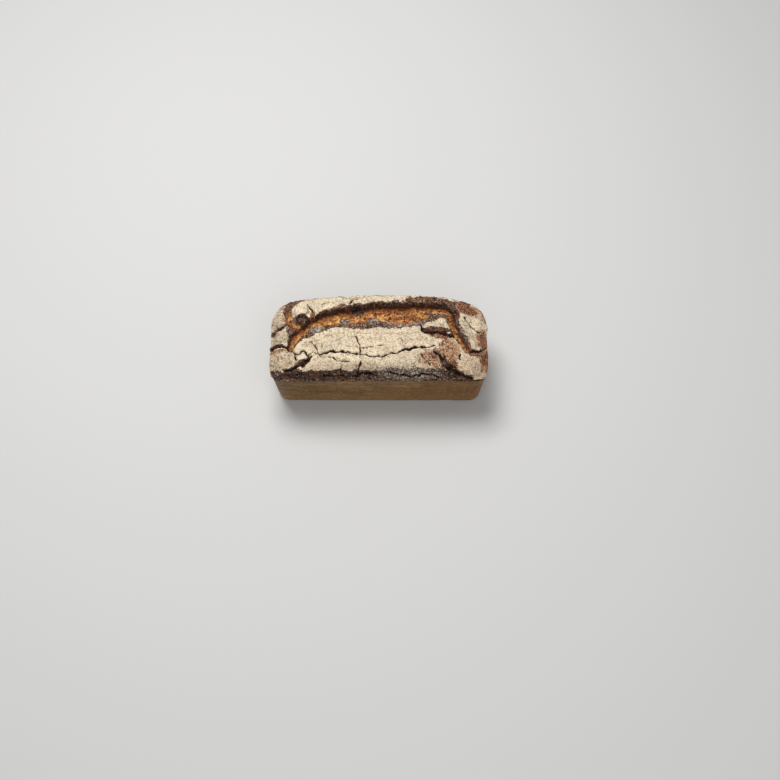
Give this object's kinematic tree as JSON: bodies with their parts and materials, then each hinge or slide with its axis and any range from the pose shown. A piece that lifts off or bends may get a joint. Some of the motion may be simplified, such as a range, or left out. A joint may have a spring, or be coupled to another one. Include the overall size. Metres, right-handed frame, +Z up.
{
  "type": "corn and spelt bread",
  "caption": "Long tin loaf of corn and spelt bread with straight tapered sides and a floured top crust torn open by a deep rift and fine cracks.",
  "frame": {"origin": "middle of the flat base, on the surface that the loaf rests on", "axes": "+X along the loaf, +Y across it away from the viewer, +Z up"},
  "size_m": [0.251, 0.1041, 0.1017],
  "materials": {
    "crust": "dry floured crust, matt, with browned sides"
  },
  "bodies": {
    "root": {"loaf": "crust"}
  },
  "joints": []
}
